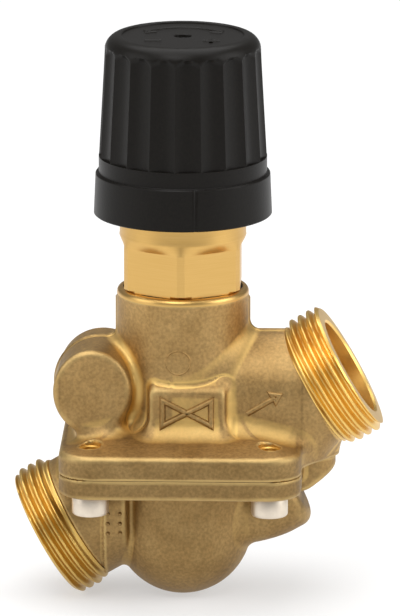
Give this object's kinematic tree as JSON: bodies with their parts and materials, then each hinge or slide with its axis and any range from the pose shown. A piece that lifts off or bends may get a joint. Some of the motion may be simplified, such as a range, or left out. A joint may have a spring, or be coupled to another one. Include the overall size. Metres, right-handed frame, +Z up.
{
  "type": "pressure independent control valve",
  "caption": "Brass inline valve with inclined threaded ports, bolted two-part body, pressure regulator and a black fluted hand cap that closes the flow.",
  "frame": {"origin": "centre of the inlet port's sealing face, on the pipe line", "axes": "+Z up along the spindle towards the hand cap; +X level, on the outlet's side, so the pipe line runs from the origin in the XZ plane, 30 degrees above +X; +Y across the body"},
  "size_m": [0.0704, 0.046, 0.1091],
  "materials": {
    "forged_brass": "shot-blasted forging",
    "machined_brass": "fine turned",
    "plated_steel": "zinc plated",
    "stainless_steel": "drawn",
    "black_plastic": "fine moulded texture",
    "grey_plastic": "moulded",
    "seal_rubber": "moulded rubber"
  },
  "bodies": {
    "valve_body": {"upper_body": "forged_brass", "lower_body": "forged_brass", "flange_screws": "plated_steel", "insert_housing": "machined_brass", "insert_seal": "seal_rubber", "seat_ring": "machined_brass", "diaphragm": "seal_rubber", "guide_ring": "machined_brass", "sleeve_seal": "seal_rubber", "regulator_spring": "stainless_steel", "throttle_seat": "seal_rubber", "duct_seal": "seal_rubber"},
    "spindle": {"spindle": "stainless_steel", "control_plug": "machined_brass", "plug_seal": "seal_rubber", "plug_nut": "plated_steel", "spindle_clip": "stainless_steel"},
    "preset": {"preset_sleeve": "machined_brass", "preset_dial": "grey_plastic", "gland_nut": "machined_brass", "gland_washer": "plated_steel", "spindle_seal": "seal_rubber", "spindle_spring": "stainless_steel"},
    "cap": {"cap": "black_plastic", "cap_thrust_pin": "stainless_steel"},
    "regulator": {"regulator_sleeve": "machined_brass", "diaphragm_plate": "plated_steel", "diaphragm_nut": "machined_brass"}
  },
  "joints": [
    {"name": "spindle_slide", "type": "slide", "parent": "valve_body", "child": "spindle", "axis": [0, 0, 1], "range_m": [-0.0025, 0], "deforming": ["spindle_spring"]},
    {"name": "cap_turn", "type": "hinge", "parent": "spindle", "child": "cap", "pos_m": [0.02598, 0, 0.01627], "axis": [0, 0, 1], "range_deg": [-601, 0]},
    {"name": "preset_turn", "type": "hinge", "parent": "valve_body", "child": "preset", "pos_m": [0.02598, 0, 0.01627], "axis": [0, 0, 1], "range_deg": [0, 300]},
    {"name": "regulator_slide", "type": "slide", "parent": "valve_body", "child": "regulator", "axis": [0, 0, 1], "range_m": [-0.0018, 0], "stiffness_N_per_m": 1500, "springref_m": 0.003, "deforming": ["regulator_spring", "diaphragm"]}
  ],
  "couplings": [
    {"joint": "cap_turn", "follows": "spindle_slide", "rad_per_m": 4188.8}
  ]
}
